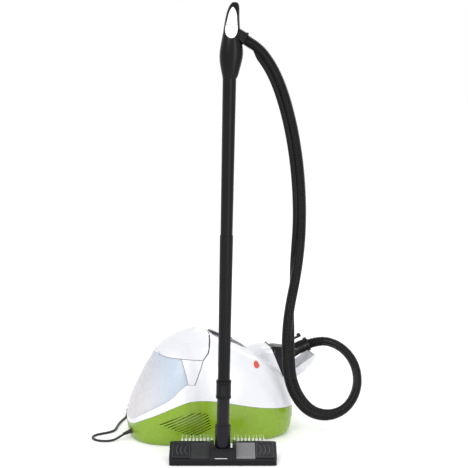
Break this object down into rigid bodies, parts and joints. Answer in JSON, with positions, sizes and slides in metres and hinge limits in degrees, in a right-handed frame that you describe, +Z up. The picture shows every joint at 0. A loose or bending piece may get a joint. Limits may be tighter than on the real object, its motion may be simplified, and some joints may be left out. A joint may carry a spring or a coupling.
{
  "type": "canister floor cleaner",
  "caption": "Wheeled canister floor cleaner with a lift-off water tank, a flexible hose, an upright wand and a wide floor head with bristles.",
  "frame": {"origin": "on the floor, under the middle of the machine and the standing wand taken together", "axes": "+Z up; +X from the tank end of the machine towards its hose socket; the wand stands on the -Y side"},
  "size_m": [0.8163, 0.6885, 1.2747],
  "materials": {
    "white_casing": "gloss",
    "green_casing": "gloss",
    "tank_plastic": "translucent gloss",
    "carry_grip": "satin",
    "badge_red": "gloss",
    "control_black": "satin",
    "control_grey": "satin",
    "fork_plastic": "moulded",
    "wheel_rubber": "moulded",
    "boiler_steel": "brushed",
    "element_metal": "oxidised",
    "valve_brass": "turned",
    "motor_steel": "pressed",
    "fan_plastic": "moulded",
    "rotor_metal": "satin",
    "mount_rubber": "moulded",
    "filter_foam": "open foam",
    "board_green": "lacquered",
    "float_plastic": "moulded",
    "clear_pipe": "gloss",
    "plug_black": "gloss",
    "flap_plastic": "frosted",
    "pin_steel": "drawn",
    "tube_black": "satin",
    "collar_black": "satin",
    "neck_black": "gloss",
    "handle_black": "satin gloss",
    "inlay_white": "gloss",
    "head_black": "fine grain",
    "sole_grey": "moulded",
    "strip_rubber": "moulded",
    "tread_rubber": "ribbed",
    "bristle_white": "bristle",
    "hose_black": "ribbed",
    "cord_black": "satin",
    "contact_brass": "polished",
    "screw_steel": "plated"
  },
  "bodies": {
    "machine": {"base_shell": "green_casing", "top_shell": "white_casing", "carry_handle": "carry_grip", "badge": "badge_red", "fixed_forks": "fork_plastic", "boiler": "boiler_steel", "heating_element": "element_metal", "solenoid_valve": "valve_brass", "vacuum_motor": "motor_steel", "fan_housing": "fan_plastic", "motor_mount": "mount_rubber", "exhaust_filter": "filter_foam", "circuit_board": "board_green", "hose_socket": "plug_black", "hose_plug": "plug_black", "hinge_pins": "pin_steel", "cord_gland": "cord_black", "mains_lead": "cord_black", "mains_coil": "cord_black", "mains_plug": "cord_black", "mains_plug_pins": "contact_brass", "casing_screws": "screw_steel", "hose": "hose_black"},
    "tank_unit": {"tank": "tank_plastic", "tank_frame": "white_casing", "float_valve": "float_plastic", "intake_pipe": "clear_pipe"},
    "lid": {"tank_lid": "white_casing"},
    "power_switch": {"power_button": "control_grey"},
    "boiler_switch": {"boiler_button": "control_grey"},
    "steam_dial": {"steam_knob": "control_black"},
    "rotor": {"fan_rotor": "rotor_metal"},
    "caster_near": {"fork_tank_near": "fork_plastic"},
    "caster_far": {"fork_tank_far": "fork_plastic"},
    "roller_tank_near": {"wheel_tank_near": "wheel_rubber"},
    "roller_tank_far": {"wheel_tank_far": "wheel_rubber"},
    "roller_hose_near": {"wheel_hose_near": "wheel_rubber"},
    "roller_hose_far": {"wheel_hose_far": "wheel_rubber"},
    "latch": {"plug_latch": "control_black"},
    "flap": {"socket_flap": "flap_plastic"},
    "wand": {"lower_tube": "tube_black", "upper_tube": "tube_black", "tube_collar": "collar_black", "neck": "neck_black", "handle_front": "handle_black", "handle_back": "handle_black", "handle_inlay": "inlay_white", "hose_cuff": "plug_black", "trigger_pin": "pin_steel"},
    "collar_key": {"collar_button": "control_black"},
    "thumb_pad": {"steam_pad": "inlay_white"},
    "trigger": {"steam_trigger": "control_black"},
    "floor_head": {"head_shell": "head_black", "neck_pin": "pin_steel", "sole_plate": "sole_grey", "sole_strips": "strip_rubber", "tread_pads": "tread_rubber", "brush_tufts": "bristle_white"},
    "clip_slider_left": {"clip_left": "head_black"},
    "clip_slider_right": {"clip_right": "head_black"}
  },
  "joints": [
    {"name": "tank_lift", "type": "slide", "parent": "machine", "child": "tank_unit", "axis": [0, 0, 1], "range_m": [0, 0.22]},
    {"name": "lid_hinge", "type": "hinge", "parent": "tank_unit", "child": "lid", "pos_m": [-0.191, 0.119, 0.2513], "axis": [0, -1, 0], "range_deg": [0, 75]},
    {"name": "power_press", "type": "slide", "parent": "machine", "child": "power_switch", "axis": [-0.2976, -0.2527, -0.9206], "range_m": [0, 0.0025], "stiffness_N_per_m": 400, "springref_m": -0.0012},
    {"name": "boiler_press", "type": "slide", "parent": "machine", "child": "boiler_switch", "axis": [-0.3402, -0.2039, -0.918], "range_m": [0, 0.0025], "stiffness_N_per_m": 400, "springref_m": -0.0012},
    {"name": "steam_turn", "type": "hinge", "parent": "machine", "child": "steam_dial", "pos_m": [0.044, 0.217, 0.25105], "axis": [0.372, 0.4406, 0.817], "range_deg": [0, 270]},
    {"name": "fan_spin", "type": "hinge", "parent": "machine", "child": "rotor", "pos_m": [0.09, 0.057, 0.112], "axis": [1, 0, 0], "continuous": true},
    {"name": "caster_turn_near", "type": "hinge", "parent": "machine", "child": "caster_near", "pos_m": [-0.2, 0.037, 0.045], "axis": [0, 0, 1], "continuous": true},
    {"name": "roll_tank_near", "type": "hinge", "parent": "caster_near", "child": "roller_tank_near", "pos_m": [-0.191, 0.037, 0.02], "axis": [0, 1, 0], "continuous": true},
    {"name": "caster_turn_far", "type": "hinge", "parent": "machine", "child": "caster_far", "pos_m": [-0.2, 0.201, 0.045], "axis": [0, 0, 1], "continuous": true},
    {"name": "roll_tank_far", "type": "hinge", "parent": "caster_far", "child": "roller_tank_far", "pos_m": [-0.191, 0.201, 0.02], "axis": [0, 1, 0], "continuous": true},
    {"name": "roll_hose_near", "type": "hinge", "parent": "machine", "child": "roller_hose_near", "pos_m": [0.129, 0.037, 0.02], "axis": [0, 1, 0], "continuous": true},
    {"name": "roll_hose_far", "type": "hinge", "parent": "machine", "child": "roller_hose_far", "pos_m": [0.129, 0.201, 0.02], "axis": [0, 1, 0], "continuous": true},
    {"name": "latch_press", "type": "hinge", "parent": "machine", "child": "latch", "pos_m": [0.20777, 0.119, 0.26107], "axis": [0, 1, 0], "range_deg": [0, 8], "stiffness_Nm_per_rad": 0.3, "springref_deg": -5.73},
    {"name": "flap_fold", "type": "hinge", "parent": "machine", "child": "flap", "pos_m": [0.1935, 0.119, 0.16], "axis": [0, 1, 0], "range_deg": [0, 35], "stiffness_Nm_per_rad": 0.05, "springref_deg": -68.75},
    {"name": "wand_lift", "type": "slide", "parent": "machine", "child": "wand", "axis": [0, 0, 1], "range_m": [0, 0.15], "deforming": ["hose"]},
    {"name": "collar_press", "type": "slide", "parent": "wand", "child": "collar_key", "axis": [0.225, 0.9744, 0], "range_m": [0, 0.0025], "stiffness_N_per_m": 500, "springref_m": -0.0012},
    {"name": "pad_press", "type": "slide", "parent": "wand", "child": "thumb_pad", "axis": [0.225, 0.9744, 0], "range_m": [0, 0.0012], "stiffness_N_per_m": 600, "springref_m": -0.001},
    {"name": "trigger_pull", "type": "hinge", "parent": "wand", "child": "trigger", "pos_m": [-0.0337, -0.17317, 1.16375], "axis": [-0.9742, 0.2249, 0.0192], "range_deg": [0, 8], "stiffness_Nm_per_rad": 0.4, "springref_deg": -8.59},
    {"name": "head_tilt", "type": "hinge", "parent": "wand", "child": "floor_head", "pos_m": [-0.06155, -0.19445, 0.028], "axis": [0.9744, -0.225, 0], "range_deg": [0, 50]},
    {"name": "clip_slide_left", "type": "slide", "parent": "floor_head", "child": "clip_slider_left", "axis": [-0.9744, 0.225, 0], "range_m": [0, 0.005], "stiffness_N_per_m": 300, "springref_m": -0.001},
    {"name": "clip_slide_right", "type": "slide", "parent": "floor_head", "child": "clip_slider_right", "axis": [0.9744, -0.225, 0], "range_m": [0, 0.005], "stiffness_N_per_m": 300, "springref_m": -0.001}
  ]
}
